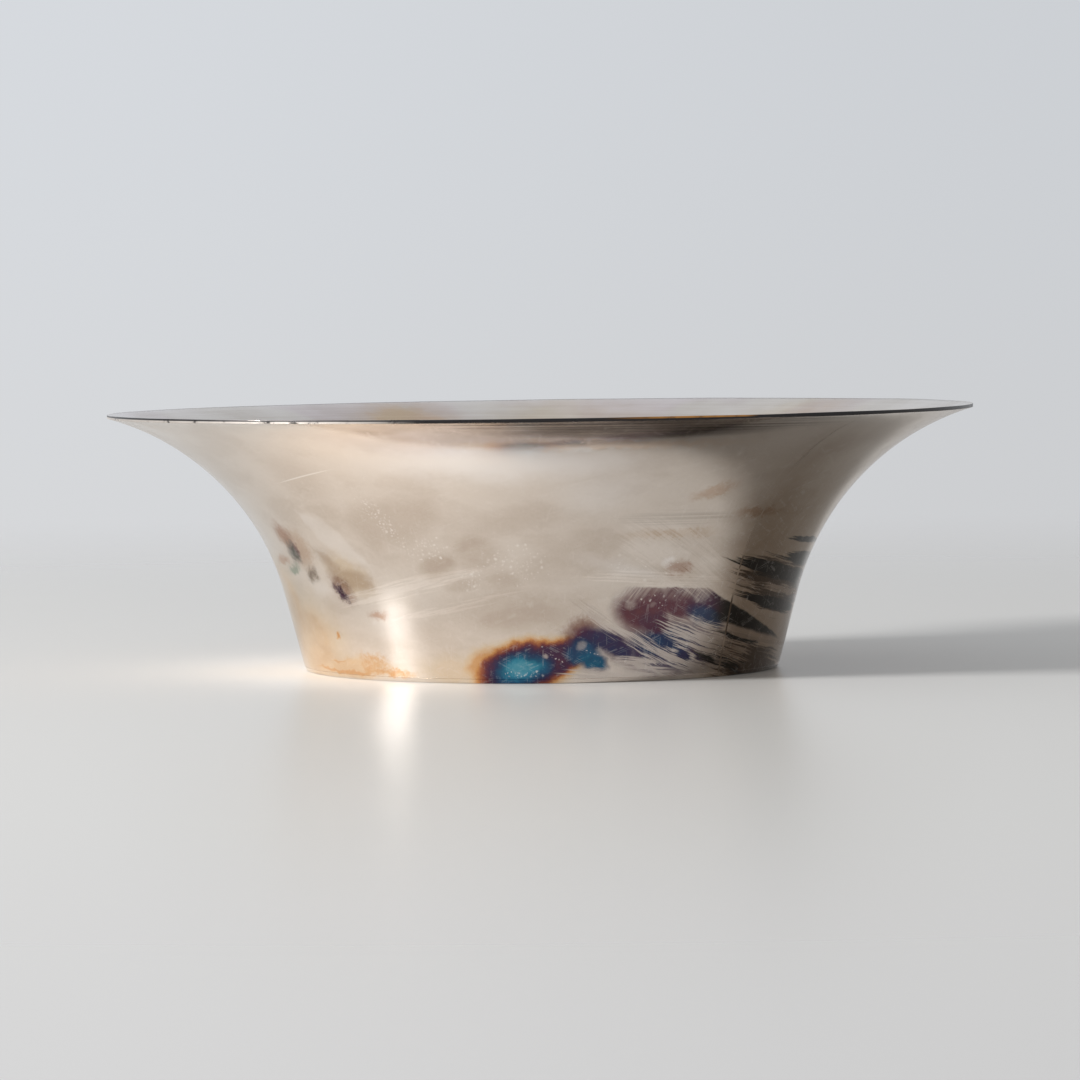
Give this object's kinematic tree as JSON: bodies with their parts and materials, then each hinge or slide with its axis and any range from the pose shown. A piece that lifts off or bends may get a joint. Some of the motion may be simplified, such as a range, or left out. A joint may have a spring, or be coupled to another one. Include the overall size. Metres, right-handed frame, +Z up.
{
  "type": "offering bowl",
  "caption": "Flared round offering bowl of thin silver sheet: a wide-lipped wall with a soldered upright seam stands on a soldered base disc and holds water, grain or flowers.",
  "frame": {"origin": "centre of the foot, on the surface that the bowl stands on", "axes": "+Z up along the axis of the bowl; -Y is the side that the picture shows"},
  "size_m": [0.115, 0.115, 0.0344],
  "materials": {
    "silver_sheet": "worn polished silver, clouded, scratched and stained straw, purple and blue by tarnish",
    "silver_solder": "filed hard solder, a little yellower and duller than the sheet"
  },
  "bodies": {
    "root": {"flared_wall": "silver_sheet", "base_disc": "silver_sheet", "wall_seam_solder": "silver_solder", "base_seam_solder": "silver_solder"}
  },
  "joints": []
}
